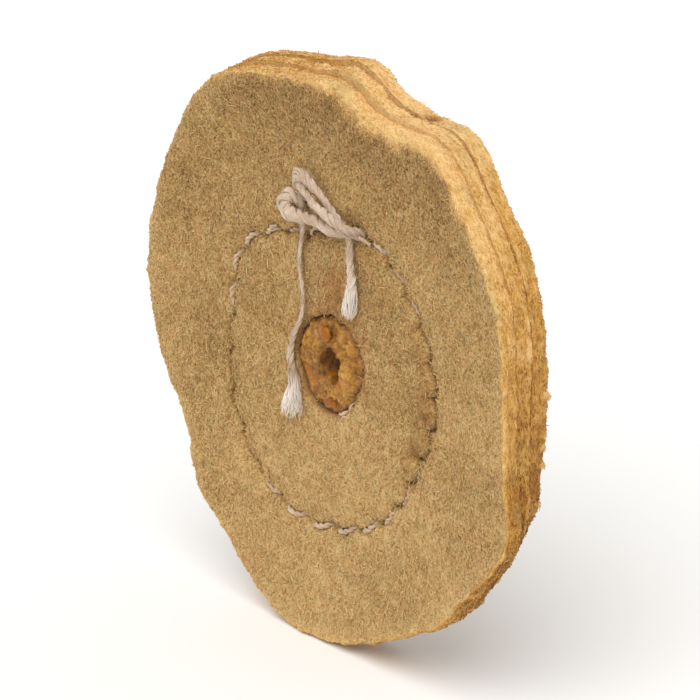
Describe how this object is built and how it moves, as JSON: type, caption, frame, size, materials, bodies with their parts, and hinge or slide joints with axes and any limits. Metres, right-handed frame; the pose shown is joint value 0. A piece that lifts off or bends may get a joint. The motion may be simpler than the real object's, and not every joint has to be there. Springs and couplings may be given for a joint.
{
  "type": "stitched leather polishing buff",
  "caption": "Soft leather polishing buff: fuzzy leather discs lock-stitched in one ring round a shellac-hardened centre with an arbor hole, thread ends tied on the face.",
  "frame": {"origin": "on the arbor hole's axis, half way through the three leather discs", "axes": "+Y is the spin axis, pointing from the knotted front face to the back; +Z points from the arbor hole towards the knot"},
  "size_m": [0.1008, 0.0139, 0.1058],
  "materials": {
    "suede": "napped split leather, golden tan",
    "suede_middle": "cut edge of split leather, orange tan",
    "suede_back": "napped split leather, golden tan",
    "hardened_core": "leather soaked with shellac, hard and brown",
    "shellac": "set amber shellac, glossy",
    "cotton_thread": "waxed cotton stitching thread, off-white",
    "cotton_yarn": "twisted cotton yarn, off-white, frayed ends"
  },
  "bodies": {
    "root": {"front_ply": "suede", "middle_ply": "suede_middle", "back_ply": "suede_back", "core_bush": "hardened_core", "shellac_bead_upper": "shellac", "shellac_bead_lower": "shellac", "needle_thread": "cotton_thread", "bobbin_thread": "cotton_thread", "left_tail": "cotton_yarn", "right_tail": "cotton_yarn"}
  },
  "joints": []
}
